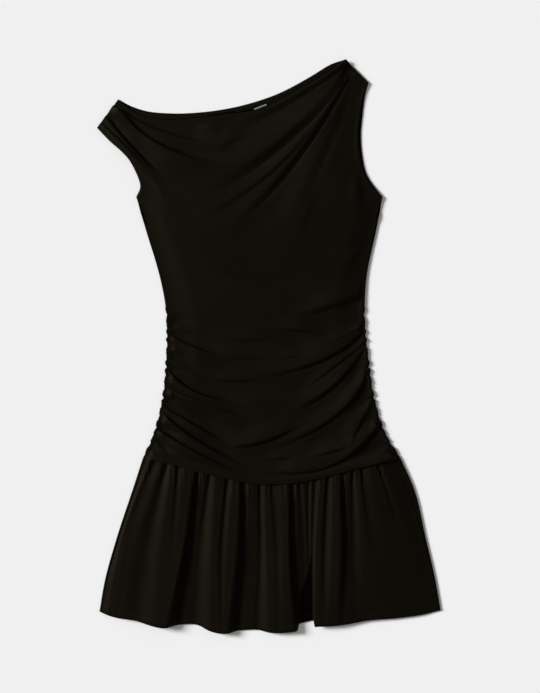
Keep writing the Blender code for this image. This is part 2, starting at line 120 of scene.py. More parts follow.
# Turned and stitched edges
HEM_EXTRA = 0.35
HEM_GROOVE = 0.28
EDGE_ROUNDING = 0.8
EDGE_ROUNDED_BY = 2.2
NECK_TURN = 8.0
ARMHOLE_TURN = 8.5
HEM_TURN = 11.0
TWIN_NEEDLE = 3.2
GROOVE_WIDTH = 1.0
SECOND_GROOVE = 0.8
SECOND_GROOVE_WIDTH = 0.9
BAND_SOFTNESS = (0.6, 0.8)
SHARP_EDGE = math.radians(75)

# Stitches
STITCH_PITCH = 3.0
STITCH_LENGTH = 2.3
STITCH_WIDTH = 0.42
STITCH_SINK = 0.1

# Label: a plain tab with a woven bar
LABEL_SIZE = (22.0, 10.0, 1.0)
LABEL_PLACE = (-12.0, 357.0)
LABEL_TURN = math.radians(21)
LABEL_CORNER = 1.5
LABEL_BOTTOM = 1.7
CORNER_STEPS = 6
BAR_CORNER = 0.5
BAR_SINK = 0.05
BAR_SIZE = (19.6, 1.9, 0.25)
BAR_UP = 1.6

# Light, floor and camera
FLOOR_SIZE = 3.2
FLOOR_COLOUR = (0.895, 0.897, 0.902)
SUN_FROM = (-0.85, 0.27, 0.44)
SUN_STRENGTH = 4.95
SUN_ANGLE = math.radians(19)
SKY_COLOUR = (1.0, 0.995, 0.985)
SKY_STRENGTH = 0.28
CAMERA_LENS = 70.0
CAMERA_PLACE = (0.0019, -0.0015, 2.027)

# Colours, as linear light
JERSEY_DARK = (0.0017, 0.0013, 0.0008)
JERSEY_LIGHT = (0.0033, 0.0026, 0.0016)
JERSEY_SPECULAR = 0.065
# Painted shade: a darker, duller copy of the jersey for the gap behind the front neck edge and the skirt's
# deep valley
PAINTED_SHADE_DARK = (0.0003, 0.00025, 0.0002)
PAINTED_SHADE_LIGHT = (0.0006, 0.0005, 0.0004)
PAINTED_SHADE_SPECULAR = 0.01
JERSEY_TINT = (1.0, 0.8, 0.5, 1.0)
JERSEY_ROUGHNESS = 0.54
ROUGHNESS_SPREAD = 0.12
# Painted shade in the knit's hollows
HOLLOW_SHADE_COLOUR = (0.001, 0.001, 0.0008, 1.0)
HOLLOW_SHADE_SHARE = 0.35
DYE_SCALE = 14.0
FUZZ_SCALE = 420.0
KNIT_DEPTH = 0.12
WALE = 0.85
COURSE = 0.95
THREAD_DARK = (0.004, 0.0036, 0.003)
THREAD_LIGHT = (0.010, 0.009, 0.0075)
TAPE_DARK = (0.0008, 0.0007, 0.0006)
TAPE_LIGHT = (0.0016, 0.0014, 0.0012)
YARN_SPECULAR = 0.06
PALE_DARK = (0.17, 0.17, 0.16)
PALE_LIGHT = (0.32, 0.32, 0.30)

# Rows of cloth: each runs across the dress from its low shoulder side to its high shoulder side
# and dips by its sag. A row's dip is part sine and part squared sine, which leaves the edge gently.
EDGE_SHARE = 0.5
Station = namedtuple("Station", "low_x low_y high_x high_y sag")
SHOULDER_SEAM = [
    Station(-226, 370, 115, 430, 0),
    Station(-258, 327, 150, 395, 177),
]
ARMHOLE = [
    Station(-258, 327, 150, 395, 177),
    Station(-240, 308, 143, 374, 176),
    Station(-225, 295, 138, 346, 172),
    Station(-210, 279, 135, 316, 165),
    Station(-201, 263, 137, 289, 158),
    Station(-193, 240, 146, 256, 146),
    Station(-199, 223, 171, 223, 132),
]
SIDE = [
    Station(-199, 223, 171, 223, 132),
    Station(-184, 173, 161, 173, 102),
    Station(-162, 98, 146, 98, 51),
    Station(-156, 68, 144, 68, 38),
    Station(-153, 23, 145, 23, 36),
    Station(-154, -23, 150, -23, 36),
    Station(-160, -82, 159, -82, 36),
    Station(-174, -136, 177, -136, 37),
    Station(-189, -170, 198, -170, 38),
]
RUCHING_STARTS = 3
SKIRT_SIDE = [
    Station(-189, -170, 198, -170, 38),
    Station(-203, -213, 217, -210, 35),
    Station(-229, -290, 236, -290, 30),
    Station(-246, -352, 250, -352, 26),
    Station(-254, -400, 258, -398, 0),
]

# How far each neckline dips below the straight line between the two neck points
Neck = namedtuple("Neck", "across dip")
FRONT_NECK = [
    Neck(0, 0), Neck(0.03, 10), Neck(0.08, 25), Neck(0.13, 34), Neck(0.19, 42), Neck(0.3, 48),
    Neck(0.46, 51), Neck(0.57, 53), Neck(0.67, 50), Neck(0.8, 34), Neck(0.92, 17), Neck(1, 0),
]
BACK_NECK = [
    Neck(0, 0), Neck(0.04, 10), Neck(0.11, 23), Neck(0.22, 34), Neck(0.36, 41), Neck(0.57, 41),
    Neck(0.71, 33), Neck(0.85, 16), Neck(0.94, 3), Neck(1, 0),
]
BACK_SHOWS_AT_ARMHOLE = 3.5

# How far the back shows inside the outline before its seam with the front
Strip = namedtuple("Strip", "along low high")
BODICE_STRIP = [Strip(0, 2.0, 1.0), Strip(0.5, 2.3, 1.2), Strip(1, 2.3, 1.2)]
SKIRT_STRIP = [Strip(0, 2.3, 12.0), Strip(0.2, 1.2, 9.0), Strip(0.5, 0.8, 2.0), Strip(1, 0.8, 0.8)]

# Ruching: gathers down each side seam, and finer puckers between them
GATHERS_A_SIDE = 16
ROWS_A_GATHER = 10
GATHER_DEPTH = 1.3
GATHER_HEIGHT = 0.5
GATHER_REACH = 13.0
PUCKERS_A_GATHER = 2.35
PUCKER_HEIGHT = 0.45
PUCKER_REACH = 7.0
Wave = namedtuple("Wave", "share rate shift")
GATHER_UNEVEN = Wave(0.35, 2.3, 0.0)
GATHER_WOBBLE = Wave(0.16, 1.9, 0.0)
PUCKER_WOBBLE = Wave(1.1, 1.0, 0.0)
SECOND_PUCKER = Wave(0.4, 1.7, 2.0)

# Grid of the panels
FRONT_COLUMNS = 150
SIDE_CROWDING = 0.3
BACK_COLUMNS = 40
ROLL_STEPS = 8
Rows = namedtuple("Rows", "shoulder armhole upper_side")
FRONT_ROWS = Rows(62, 26, 40)
SKIRT_ROWS = 110
SKIRT_STEPS = 5

# Folds of the front bodice, each from its faded end to its held end. The cloth climbs over the
# soft width on the left of that way and drops over the steep width on its right.
Fold = namedtuple("Fold", "start middle end rise soft steep held")
FOLDS = [
    # from the low shoulder
    Fold((-174, 256), (-210, 292), (-245, 328), 2.2, 9, 3.0, True),
    Fold((-152, 246), (-201, 292), (-241, 340), 3.8, 11, 3.4, True),
    Fold((-174, 292), (-204, 314), (-226, 337), 0.9, 6, 1.8, False),
    Fold((-229, 328), (-234, 337), (-238, 345), 1.2, 5, 1.8, True),
    Fold((-49, 273), (-153, 295), (-231, 359), 5.2, 18, 3.6, True),
    Fold((-76, 302), (-156, 321), (-226, 354), 4.6, 15, 3.4, True),
    Fold((-109, 323), (-82, 326), (-55, 334), 0.8, 9, 2.5, False),
    Fold((-82, 293), (-55, 307), (-28, 319), 1.0, 10, 4.0, False),
    # from the high shoulder
    Fold((-75, 315), (24, 362), (114, 422), 1.8, 12, 7.0, True),
    Fold((-118, 220), (23, 308), (118, 418), 3.6, 24, 13.0, True),
    Fold((-124, 182), (-9, 250), (77, 346), 1.5, 10, 3.0, False),
    Fold((-70, 172), (23, 258), (113, 394), 3.0, 15, 9.0, True),
    Fold((15, 151), (80, 286), (128, 398), 2.1, 14, 13.0, True),
    Fold((117, 343), (127, 370), (140, 406), 2.2, 9, 2.5, True),
    Fold((130, 395), (133, 403), (136, 410), 1.1, 5, 1.8, True),
    Fold((36, 140), (57, 191), (74, 235), 0.8, 14, 5.0, False),
    Fold((138, 200), (136, 233), (140, 266), 2.6, 12, 3.0, False),
    Fold((116, 113), (129, 131), (146, 154), 0.8, 9, 4.0, False),
    # from the high side seam
    Fold((34, 40), (92, 58), (144, 77), 3.6, 16, 2.8, True),
    Fold((128, 47), (134, 51), (144, 55), 1.0, 6, 1.8, True),
    Fold((8, 28), (47, 22), (90, 14), 2.4, 12, 2.8, False),
    Fold((80, 4), (113, 14), (143, 29), 1.5, 8, 2.2, True),
    Fold((-25, -49), (77, -23), (143, 23), 3.2, 16, 4.0, True),
    Fold((47, -70), (98, -32), (144, 4), 1.7, 8, 2.2, True),
    Fold((32, -98), (92, -65), (146, -2), 3.6, 15, 4.4, True),
    Fold((-10, -160), (99, -106), (150, -31), 3.4, 13, 2.4, True),
    Fold((104, -112), (125, -83), (152, -46), 1.5, 9, 3.2, True),
    Fold((122, -157), (134, -124), (158, -85), 2.6, 11, 3.0, True),
    Fold((-21, -182), (84, -184), (168, -115), 4.6, 15, 2.6, True),
    Fold((54, -166), (92, -160), (125, -148), 2.2, 10, 3.2, False),
    Fold((-10, -172), (17, -170), (44, -167), 1.4, 8, 2.6, False),
    Fold((150, -112), (156, -100), (161, -88), 1.4, 6, 2.2, True),
    Fold((156, -142), (162, -127), (168, -112), 1.6, 6, 2.2, True),
    Fold((149, -170), (162, -149), (174, -128), 1.7, 8, 2.2, True),
    Fold((155, -176), (171, -164), (185, -152), 1.7, 6, 2.2, True),
    Fold((114, -193), (159, -181), (194, -164), 1.6, 7, 2.2, True),
    # from the low side seam
    Fold((-104, 22), (-131, 28), (-150, 25), 2.8, 10, 2.2, True),
    Fold((-46, -22), (-109, -4), (-148, 17), 3.2, 12, 3.4, True),
    Fold((-114, -26), (-133, -10), (-147, 5), 1.6, 7, 4.0, True),
    Fold((-99, -41), (-126, -31), (-150, -20), 2.6, 10, 2.2, True),
    Fold((-28, -83), (-103, -73), (-153, -35), 4.6, 14, 3.4, True),
    Fold((-4, -116), (-91, -89), (-151, -64), 3.4, 12, 2.8, True),
    Fold((-133, -87), (-144, -85), (-151, -82), 1.0, 5, 1.8, True),
    Fold((-84, -124), (-114, -98), (-145, -73), 2.4, 9, 2.4, True),
    Fold((-50, -154), (-104, -124), (-162, -89), 4.4, 13, 4.0, True),
    Fold((-60, -152), (-6, -143), (63, -112), 4.0, 16, 2.8, False),
    Fold((-6, -192), (-103, -146), (-162, -98), 5.0, 14, 3.0, True),
    Fold((-15, -203), (-103, -164), (-169, -124), 4.6, 11, 2.6, True),
    Fold((-148, -163), (-162, -151), (-172, -137), 2.0, 6, 2.2, True),
    Fold((-136, -152), (-154, -137), (-169, -128), 1.6, 6, 2.2, True),
    Fold((-159, -181), (-174, -170), (-184, -160), 1.6, 6, 2.0, True),
    # across the waist
    Fold((-66, 12), (-28, 8), (12, 9), 1.3, 11, 4.0, False),
    Fold((-88, -8), (-42, -19), (6, -17), 1.2, 12, 3.4, False),
    Fold((14, -19), (35, -17), (56, -14), 0.8, 8, 3.0, False),
    Fold((-88, -48), (-46, -53), (2, -48), 1.8, 12, 4.0, False),
]

# Slow swells of the cloth where it lies loose: how high, how long and which way each one runs
Swell = namedtuple("Swell", "height length turn shift")
SWELL_WANDER = 2.2
SWELL_WANDER_RATE = 1.9
SWELLS = [
    Swell(0.28, 160, 0.5, 0.3), Swell(0.2, 118, 2.1, 1.9), Swell(0.12, 71, 1.2, 4.0),
]

# Lines down the front skirt, along its crests and creases: where each lies across at the waist,
# middle and hem, and how high it is there
Line = namedtuple("Line", "waist middle hem waist_rise middle_rise hem_rise")
SKIRT_LINES = [
    Line(-177, -220, -240, 5.8, 5.6, 5.4), Line(-172, -213, -231, 3.4, 6.2, 6.2),
    Line(-157, -195, -217, 6.2, 7.2, 7.5), Line(-151, -180, -201, 2.8, 6.2, 7.5),
    Line(-144, -159, -168, 6.4, 10.2, 12.4), Line(-139, -150, -163, 6.2, 10.5, 12.6),
    Line(-135, -145, -160, 3.6, 10.4, 12.7), Line(-127, -136, -157, 6.2, 10.9, 12.8),
    Line(-111, -127, -154, 6.4, 11.3, 12.9), Line(-106, -118, -133, 2.3, 2.2, 2.8),
    Line(-100, -112, -124, 5.6, 2.9, 3.1), Line(-93, -108, -118, 5.6, 3.1, 3.0),
    Line(-88, -103, -112, 2.8, 2.8, 2.7), Line(-81, -84, -84, 6.2, 8.6, 9.4),
    Line(-66, -76, -73, 5.8, 8.9, 10.2), Line(-61, -71, -70, 2.8, 7.6, 10.4),
    Line(-54, -61, -67, 5.8, 9.6, 10.6), Line(-43, -48, -63, 6.2, 10.4, 10.9),
    Line(-37, -40, -45, 2.1, 2.1, 2.3), Line(-30, -31, -36, 5.8, 2.9, 2.8),
    Line(-19, -18, -25, 5.6, 3.1, 2.8), Line(-13, -12, -18, 2.6, 2.2, 2.3),
    Line(-7, -3, 3, 6.0, 6.4, 8.0), Line(0, 8, 11, 5.8, 7.1, 8.5),
    Line(5, 12, 14, 3.8, 6.8, 8.6), Line(23, 24, 24, 6.2, 9.0, 9.4),
    Line(30, 30, 38, 6.4, 9.6, 9.9), Line(35, 37, 47, 2.2, 2.1, 2.1),
    Line(41, 45, 51, 5.2, 2.9, 2.1), Line(47, 53, 56, 2.8, 2.2, 2.1),
    Line(53, 57, 60, 5.0, 2.6, 2.1), Line(59, 60, 63, 2.4, 2.1, 2.1),
    Line(65, 63, 65, 5.4, 2.8, 2.1), Line(71, 66, 66, 3.2, 3.0, 2.4),
    Line(77, 71, 69, 6.0, 6.2, 8.4), Line(84, 78, 77, 6.2, 6.6, 8.8),
    Line(89, 84, 83, 2.8, 5.0, 9.0), Line(98, 96, 92, 6.2, 8.6, 9.2),
    Line(105, 108, 101, 6.2, 9.6, 9.2), Line(111, 115, 114, 2.6, 2.8, 7.6),
    Line(117, 119, 122, 5.6, 3.4, 7.0), Line(121, 123, 126, 5.4, 3.3, 6.6),
    Line(126, 127, 132, 2.8, 2.8, 6.0), Line(131, 141, 146, 6.0, 5.3, 5.1),
    Line(134, 147, 155, 5.8, 5.6, 5.1), Line(138, 153, 164, 2.8, 5.2, 5.0),
    Line(149, 170, 182, 6.0, 5.4, 4.8), Line(158, 191, 203, 5.8, 4.8, 4.2),
    Line(162, 197, 212, 3.2, 4.4, 4.0), Line(167, 206, 224, 5.6, 4.2, 3.8),
]

# The front hem, as its height at places across
Hem = namedtuple("Hem", "x y")
FRONT_HEM = [
    Hem(-255, -400), Hem(-235, -407), Hem(-199, -413), Hem(-175, -420), Hem(-157, -423),
    Hem(-139, -420), Hem(-103, -421), Hem(-91, -427), Hem(-67, -432), Hem(-43, -428), Hem(-19, -427),
    Hem(5, -431), Hem(29, -430), Hem(45, -428), Hem(70, -422), Hem(89, -421), Hem(113, -419),
    Hem(149, -413), Hem(197, -409), Hem(233, -404), Hem(258, -398),
]
Notch = namedtuple("Notch", "low high side depth")
HEM_NOTCH = Notch(44.0, 69.0, 1.6, 10.0)
BACK_HEM_DROP = 16.0

# The deep valley above the notch, where shade is painted, as places among the skirt's lines and down the
# skirt
Valley = namedtuple("Valley", "first_line last_line starts full")
VALLEY_SHADE = Valley(27.5, 33.0, 0.5, 0.85)

# How wide the painted shade on the back shows behind the front neck edge, standing for the dark gap between
# the layers, at places across
NeckGapShade = namedtuple("NeckGapShade", "x width")
NECK_GAP_SHADE = [
    NeckGapShade(-220, 0.6), NeckGapShade(-150, 0.8), NeckGapShade(-100, 1.6), NeckGapShade(-60, 2.8),
    NeckGapShade(-28, 2.4), NeckGapShade(-14, 0.6), NeckGapShade(30, 0.5), NeckGapShade(72, 0.6),
    NeckGapShade(84, 2.2), NeckGapShade(97, 1.8), NeckGapShade(108, 0.4),
]


def smooth(at, knots, values):
    """Reads a smooth curve through each knot and its value."""
    knots = np.asarray(knots, float)
    values = np.asarray(values, float)
    slopes = np.gradient(values, knots)
    at = np.clip(np.asarray(at, float), knots[0], knots[-1])
    i = np.clip(np.searchsorted(knots, at, side="right") - 1, 0, len(knots) - 2)
    span = knots[i + 1] - knots[i]
    t = (at - knots[i]) / span
    from_start = values[i] * (1 + 2 * t) * (1 - t) ** 2 + slopes[i] * span * t * (1 - t) ** 2
    from_end = values[i + 1] * t * t * (3 - 2 * t) - slopes[i + 1] * span * t * t * (1 - t)
    return from_start + from_end


def ease(value, start=0.0, end=1.0):
    """Goes from 0 at start to 1 at end, level at both."""
    t = np.clip((np.asarray(value, float) - start) / (end - start), 0, 1)
    return t * t * (3 - 2 * t)


def kept_above(level, least):
    """The level where it is well above least, easing into least where it would sink below."""
    over = level - least
    return least + (over + np.sqrt(over**2 + SETTLING**2)) / 2


def knots_of(stations):
    """Places of the stations along their stretch, from 0 to 1, spaced as they are on the cloth."""
    steps = []
    for a, b in zip(stations, stations[1:]):
        low_step = math.hypot(b.low_x - a.low_x, b.low_y - a.low_y)
        high_step = math.hypot(b.high_x - a.high_x, b.high_y - a.high_y)
        steps.append(low_step + high_step)
    return np.concatenate([[0], np.cumsum(steps)]) / sum(steps)


def station_at(stations, along):
    """The station at a place along a stretch, read from the smooth curves through its stations."""
    knots = knots_of(stations)
    return Station(*(float(smooth(along, knots, column)) for column in zip(*stations)))


def row_height(station, x, neck=None, neck_share=0.0):
    """The Y of a row at each x."""
    across = np.clip((x - station.low_x) / (station.high_x - station.low_x), 0, 1)
    bow = np.sin(math.pi * across)
    dip = station.sag * (EDGE_SHARE * bow + (1 - EDGE_SHARE) * bow**2)
    if neck:
        dips = smooth(across, [point.across for point in neck], [point.dip for point in neck])
        dip = dip + neck_share * dips
    return station.low_y + (station.high_y - station.low_y) * across - dip


# A row's shares run from 0 to 1: how much of the neckline's dip it has, how far the back's edge has
# rolled up, how far the front's edge has drawn in to the seam, and how near it is to the lower edge
Row = namedtuple("Row", "station neck_share rolled drawn_in armhole along gather pucker to_bottom")
LEVEL_ROW = Row(None, 0.0, 0.0, 0.0, 0.0, 0.0, 0.0, 0.0, 0.0)


def seam_turns(along):
    """How many gathers lie above a place along the side seam."""
    start = knots_of(SIDE)[RUCHING_STARTS]
    return (along - start) / (1 - start) * GATHERS_A_SIDE


def gather_wave(along):
    """Height of the seam gathers at a place down the side, from about -1 in a valley to 1 on a crest."""
    turns = seam_turns(along)
    if turns <= 0:
        return 0.0
    uneven = 1 - GATHER_UNEVEN.share * (1 - math.sin(GATHER_UNEVEN.rate * math.floor(turns)))
    fade = float(ease(turns, 0, 1.5)) * (1 - float(ease(turns, GATHERS_A_SIDE - 1, GATHERS_A_SIDE)))
    wobble = GATHER_WOBBLE.share * math.sin(GATHER_WOBBLE.rate * turns)
    return uneven * fade * math.cos(2 * math.pi * (turns + wobble))


def pucker_wave(along):
    """Height of the finer puckers between the gathers, uneven from one to the next."""
    turns = seam_turns(along)
    if turns <= 0:
        return 0.0
    fade = float(ease(turns, 0, 1)) * (1 - float(ease(turns, GATHERS_A_SIDE - 0.6, GATHERS_A_SIDE)))
    phase = 2 * math.pi * PUCKERS_A_GATHER * turns
    first = math.cos(phase + PUCKER_WOBBLE.share * math.sin(PUCKER_WOBBLE.rate * turns))
    second = math.cos(SECOND_PUCKER.rate * phase + SECOND_PUCKER.shift)
    return fade * ((1 - SECOND_PUCKER.share) * first + SECOND_PUCKER.share * second)


def bodice_rows(counts):
    """The rows of a bodice panel, from the neck to the lower edge."""
    rows = []
    for i in range(counts.shoulder):
        along = i / counts.shoulder
        rows.append(LEVEL_ROW._replace(station=station_at(SHOULDER_SEAM, along), neck_share=1 - along))
    for i in range(counts.armhole):
        along = i / counts.armhole
        edge = math.sin(math.pi * along)
        rows.append(LEVEL_ROW._replace(station=station_at(ARMHOLE, along), armhole=edge))
    start = knots_of(SIDE)[RUCHING_STARTS]
    ruched = GATHERS_A_SIDE * ROWS_A_GATHER
    upper = start * np.linspace(0, 1, counts.upper_side, endpoint=False) ** 1.5
    for along in (*upper, *np.linspace(start, 1, ruched + 1)):
        rolled = float(ease(along, DRAWN_IN_BY, ROLLED_BY))
        drawn_in = float(ease(along, 0, DRAWN_IN_BY))
        to_bottom = float(ease(along, BLOUSE_STARTS, BLOUSE_FULL))
        waves = gather_wave(along), pucker_wave(along)
        rows.append(Row(station_at(SIDE, along), 0.0, rolled, drawn_in, 0.0, along, *waves, to_bottom))
    return rows


def bodice_radius(along):
    """Radius of the rolled edge down the side seam: thin above, full where it is ruched."""
    start = knots_of(SIDE)[RUCHING_STARTS]
    thickened = float(ease(along, 0.5 * start, 1.1 * start))
    return UPPER_ROLL_RADIUS + (ROLL_RADIUS - UPPER_ROLL_RADIUS) * thickened


def skirt_radius(down):
    return ROLL_RADIUS + (SKIRT_ROLL_RADIUS - ROLL_RADIUS) * float(ease(down, 0, 0.4))


def seam_level(radius):
    return BACK_LEVEL + 2 * radius


def roll_profile(amount, strip, full_radius):
    """The back's rolled edge, from flat to seam, as pairs: inwards from the outline, up from the back."""
    arc = math.pi * full_radius
    angle = max(amount, 0.001) * math.pi
    radius = arc / angle
    outward = [radius * math.sin(angle * k / ROLL_STEPS) for k in range(ROLL_STEPS + 1)]
    upward = [radius * (1 - math.cos(angle * k / ROLL_STEPS)) for k in range(ROLL_STEPS + 1)]
    for part in (0.5, 1.0):
        outward.append(outward[ROLL_STEPS] + part * strip * math.cos(angle))
        upward.append(upward[ROLL_STEPS] + part * strip * math.sin(angle))
    return [(max(outward) - out, up) for out, up in zip(outward, upward)]


def strips_at(table, along):
    places = [row.along for row in table]
    low = float(smooth(along, places, [row.low for row in table]))
    high = float(smooth(along, places, [row.high for row in table]))
    return low, high


def scalloped(row):
    """The outline of a row at the two side seams, drawn in and out by the gathers and puckers."""
    shift = (GATHER_DEPTH * row.gather + PUCKER_HEIGHT * row.pucker) * row.rolled
    station = row.station
    return station._replace(low_x=station.low_x - shift, high_x=station.high_x + shift)


def fold_shape(fold, x, y):
    """What one fold does at each place: its rise, and how far it leans over to its steep side in x and y."""
    start, middle, end = (np.array(point, float) for point in (fold.start, fold.middle, fold.end))
    control = 2 * middle - (start + end) / 2
    reach = FOLD_SOFT * fold.soft * FOLD_WIDTH_IN_MIDDLE + 3 * fold.steep
    corners = np.array([start, middle, control, end])
    low, high = corners.min(0) - reach, corners.max(0) + reach
    near = (x > low[0]) & (x < high[0]) & (y > low[1]) & (y < high[1])
    t = np.linspace(0, 1, 29)[:, None]
    curve = (1 - t) ** 2 * start + 2 * t * (1 - t) * control + t**2 * end
    steps = np.diff(curve, axis=0)
    away = np.stack([x[near], y[near]], axis=-1)[:, None, :] - curve[:-1]
    along = np.clip((away * steps).sum(-1) / (steps**2).sum(-1), 0, 1)
    miss = away - along[..., None] * steps
    distance = np.hypot(miss[..., 0], miss[..., 1])
    nearest = distance.argmin(-1)
    pick = (np.arange(len(nearest)), nearest)
    step = steps[nearest]
    turn = step[:, 1] * away[pick][:, 0] - step[:, 0] * away[pick][:, 1]
    to_right = np.sign(turn) * distance[pick]
    place = (nearest + along[pick]) / len(steps)
    length = np.hypot(steps[:, 0], steps[:, 1]).sum()
    end_width = FOLD_WIDTH_AT_END if fold.held else FOLD_WIDTH_AT_START
    narrowing = smooth(place, (0, 0.5, 1), (FOLD_WIDTH_AT_START, FOLD_WIDTH_IN_MIDDLE, end_width))
    half_steep = (FOLD_STEEP + fold.steep) * (0.75 + 0.5 * (1 - place)) / 2
    soft = min(FOLD_SOFT * fold.soft, FOLD_MOST_SOFT * length) * narrowing
    climb = ease(to_right, -half_steep - soft, -half_steep)
    dropped = ease(to_right, -half_steep, half_steep)
    bottom = half_steep + FOLD_BOTTOM * soft
    below = FOLD_BELOW + FOLD_SETTLES * ease(to_right, half_steep, bottom)
    recovered = ease(to_right, bottom, bottom + FOLD_TAIL * soft)
    fades_over = min(max(FOLD_FADE, FOLD_FADE_LENGTH / length), 1.0 if fold.held else 0.5)
    fade = ease(place, 0, fades_over)
    crease_fade = ease(place, 0, CREASE_FADE)
    if not fold.held:
        fade = fade * ease(1 - place, 0, fades_over)
        crease_fade = crease_fade * ease(1 - place, 0, CREASE_FADE)
    crease = CREASE_DEPTH * crease_fade * np.exp(-(((to_right - half_steep) / CREASE_WIDTH) ** 2))
    crest = ease(to_right, -half_steep - 0.5 * soft, -half_steep) * (1 - dropped)
    lean = FOLD_OVERHANG * fold.rise * fade * crest
    right = np.stack([step[:, 1], -step[:, 0]], axis=-1) / np.hypot(step[:, 0], step[:, 1])[:, None]
    rise = np.zeros(x.shape)
    lean_x = np.zeros(x.shape)
    lean_y = np.zeros(x.shape)
    above = fade * FOLD_ABOVE * climb * (1 - dropped)
    sunk = crease_fade * below * dropped * (1 - recovered)
    rise[near] = fold.rise * (FOLD_HEIGHT * (above - sunk) - crease)
    lean_x[near] = lean * right[:, 0]
    lean_y[near] = lean * right[:, 1]
    return rise, lean_x, lean_y


def across_columns(count):
    """Places across a panel from 0 to 1, closer together near the two sides."""
    even = np.linspace(0, 1, count)
    crowded = 0.5 - 0.5 * np.cos(math.pi * even)
    return (1 - SIDE_CROWDING) * even + SIDE_CROWDING * crowded


def swell_height(x, y):
    """The cloth's slow swells at each place."""
    height = np.zeros(np.shape(x))
    for swell in SWELLS:
        run = x * math.cos(swell.turn) + y * math.sin(swell.turn)
        side = -x * math.sin(swell.turn) + y * math.cos(swell.turn)
        wander = SWELL_WANDER * np.sin(side / swell.length * SWELL_WANDER_RATE + swell.shift)
        height = height + swell.height * np.sin(2 * math.pi * run / swell.length + swell.shift + wander)
    return height


def column_of(rows, name):
    return np.array([[getattr(row, name)] for row in rows])


def front_bodice_grid():
    """The middle surface of the front bodice, with every fold, gather and pucker."""
    rows = bodice_rows(FRONT_ROWS)
    lows, highs, lines = [], [], []
    for row in rows:
        station = scalloped(row)
        low_strip, high_strip = strips_at(BODICE_STRIP, row.along)
        clear = SEAM_GAP + math.sin(math.pi * row.rolled)
        radius = bodice_radius(row.along)
        low_edge = station.low_x + row.drawn_in * (roll_profile(1.0, low_strip, radius)[-1][0] + clear)
        high_edge = station.high_x - row.drawn_in * (roll_profile(1.0, high_strip, radius)[-1][0] + clear)
        x = low_edge + (high_edge - low_edge) * across_columns(FRONT_COLUMNS)
        lines.append((x, row_height(station, x, FRONT_NECK, row.neck_share)))
        lows.append([low_edge])
        highs.append([high_edge])
    x = np.array([line[0] for line in lines])
    y = np.array([line[1] for line in lines])
    lows, highs = np.array(lows), np.array(highs)
    to_low, to_high = x - lows, highs - x
    to_side = np.minimum(to_low, to_high)
    rolled, armhole = column_of(rows, "rolled"), column_of(rows, "armhole")
    to_bottom = column_of(rows, "to_bottom")
    near_side = np.exp(-to_low / EDGE_REACH) + np.exp(-to_high / EDGE_REACH)
    inside = ease(to_side, 0, SEAM_PINCH)
    seam_levels = np.array([[seam_level(bodice_radius(row.along))] for row in rows])
    level = FRONT_LEVEL + ease(rolled, 0.5, 1) * (seam_levels - FRONT_LEVEL) * near_side
    level = level + armhole * (ARMHOLE_LEVEL - FRONT_LEVEL) * near_side
    across = to_low / (highs - lows)
    from_tips = ease(across * (1 - across), 0, NECK_TIPS)
    from_neck = np.abs(y[0] - y)
    level = level + (NECK_LEVEL - FRONT_LEVEL) * np.exp(-from_neck / NECK_REACH) * from_tips
    folds, lean_x, lean_y = np.zeros(x.shape), np.zeros(x.shape), np.zeros(x.shape)
    for fold in FOLDS:
        rise, push_x, push_y = fold_shape(fold, x, y)
        folds += rise
        lean_x += push_x
        lean_y += push_y
    at_edge = FREE_EDGE_FOLD * (1 - rolled)
    held_down = (at_edge + (1 - at_edge) * inside) * (1 + (BLOUSED_FOLD - 1) * to_bottom)
    level = level + folds * held_down
    seam_side = rolled * GATHER_HEIGHT * np.exp(-to_side / GATHER_REACH)
    level = level + column_of(rows, "gather") * seam_side
    level = level + column_of(rows, "pucker") * rolled * PUCKER_HEIGHT * np.exp(-to_side / PUCKER_REACH)
    level = level + swell_height(x, y) * inside * ease(from_neck, *SWELL_FROM_NECK)
    loft = FRONT_LOFT * ease(to_side, 0, LOFT_REACH) * ease(from_neck, 0, LOFT_REACH) * (1 - to_bottom)
    level = level + loft
    edge_level = BLOUSE_LEVEL + np.maximum(BLOUSE_EDGE_FOLD * folds, -BLOUSE_EDGE_DIP)
    level = level + to_bottom * inside * (edge_level - level)
    level = kept_above(level, LEAST_FRONT_LEVEL)
    lean = inside * ease(from_neck, *LEAN_FROM_NECK) * (1 - to_bottom)
    return np.stack([x + lean_x * lean, y + lean_y * lean, level], axis=-1)


def back_row(row_station, profiles, heights_of, columns, full, ripple=0.0):
    """One row of a back panel: its low roll, its flat middle and its high roll. Full is a roll's height."""
    low, high = profiles
    low_side = [(row_station.low_x + inwards, BACK_LEVEL + up + ripple * up / full) for inwards, up in low]
    high_side = [(row_station.high_x - inwards, BACK_LEVEL + up + ripple * up / full) for inwards, up in high]
    start, end = low_side[0][0], high_side[0][0]
    middle = [(x, BACK_LEVEL) for x in np.linspace(start, end, columns + 2)[1:-1]]
    x, z = np.array([*reversed(low_side), *middle, *high_side]).T
    return np.stack([x, heights_of(x), z], axis=-1)


def back_bodice_grid():
    grid = []
    for row in bodice_rows(FRONT_ROWS):
        station = scalloped(row)
        station = station._replace(high_x=station.high_x + BACK_SHOWS_AT_ARMHOLE * row.armhole)
        low_strip, high_strip = strips_at(BODICE_STRIP, row.along)
        radius = bodice_radius(row.along)
        profiles = roll_profile(row.rolled, low_strip, radius), roll_profile(row.rolled, high_strip, radius)
        ripple = (row.gather * GATHER_HEIGHT + row.pucker * PUCKER_HEIGHT) * row.rolled

        def heights(x):
            return row_height(station, x, BACK_NECK, row.neck_share)

        grid.append(back_row(station, profiles, heights, BACK_COLUMNS, 2 * radius, ripple))
    return np.array(grid)


def hem_height(x):
    hem = smooth(x, [point.x for point in FRONT_HEM], [point.y for point in FRONT_HEM])
    notch = HEM_NOTCH
    inside = ease(x, notch.low, notch.low + notch.side) * (1 - ease(x, notch.high - notch.side, notch.high))
    return hem + notch.depth * inside


